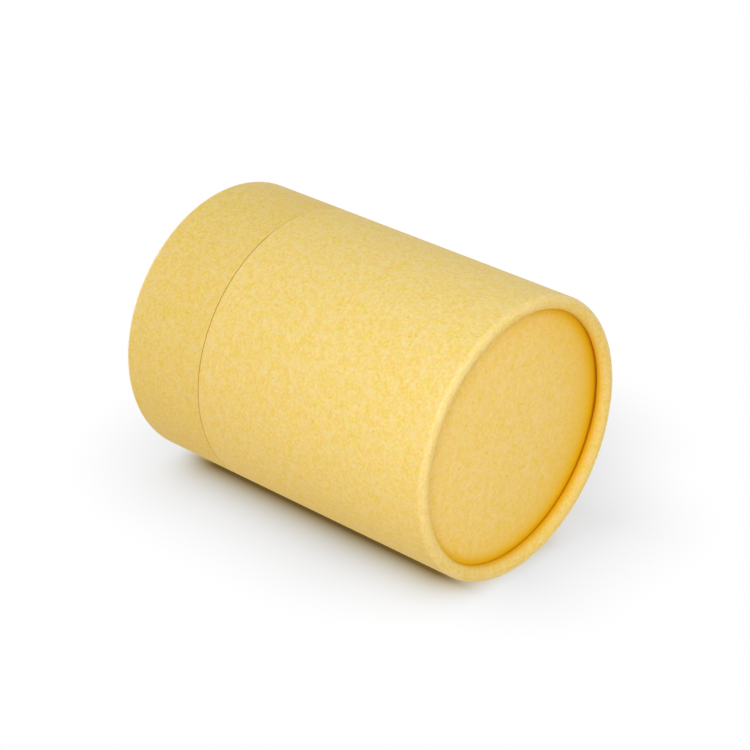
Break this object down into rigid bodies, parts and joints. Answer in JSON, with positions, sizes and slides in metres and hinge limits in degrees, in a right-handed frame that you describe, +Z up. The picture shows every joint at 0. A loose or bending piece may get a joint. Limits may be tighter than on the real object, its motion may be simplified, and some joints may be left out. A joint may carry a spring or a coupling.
{
  "type": "cylindrical cardboard box",
  "caption": "Round kraft board tube box with rolled end edges, recessed end discs and a flush lid that lifts off an inner neck sleeve.",
  "frame": {"origin": "centre of the base, on the plane that the base curl stands on", "axes": "+Z up along the tube's axis, from the base to the lid; X and Y are free, because the box is round"},
  "size_m": [0.08, 0.08, 0.109],
  "materials": {
    "kraft_tube": "matte unbleached kraft paper on wound board",
    "kraft_disc": "matte unbleached kraft paper on die-cut board",
    "kraft_neck": "matte unbleached kraft board, plain wound tube"
  },
  "bodies": {
    "body": {"body_tube": "kraft_tube", "base_disc": "kraft_disc", "neck_tube": "kraft_neck"},
    "lid": {"lid_tube": "kraft_tube", "lid_disc": "kraft_disc"}
  },
  "joints": [
    {"name": "lid_lift", "type": "slide", "parent": "body", "child": "lid", "axis": [0, 0, 1], "range_m": [0, 0.03]}
  ]
}
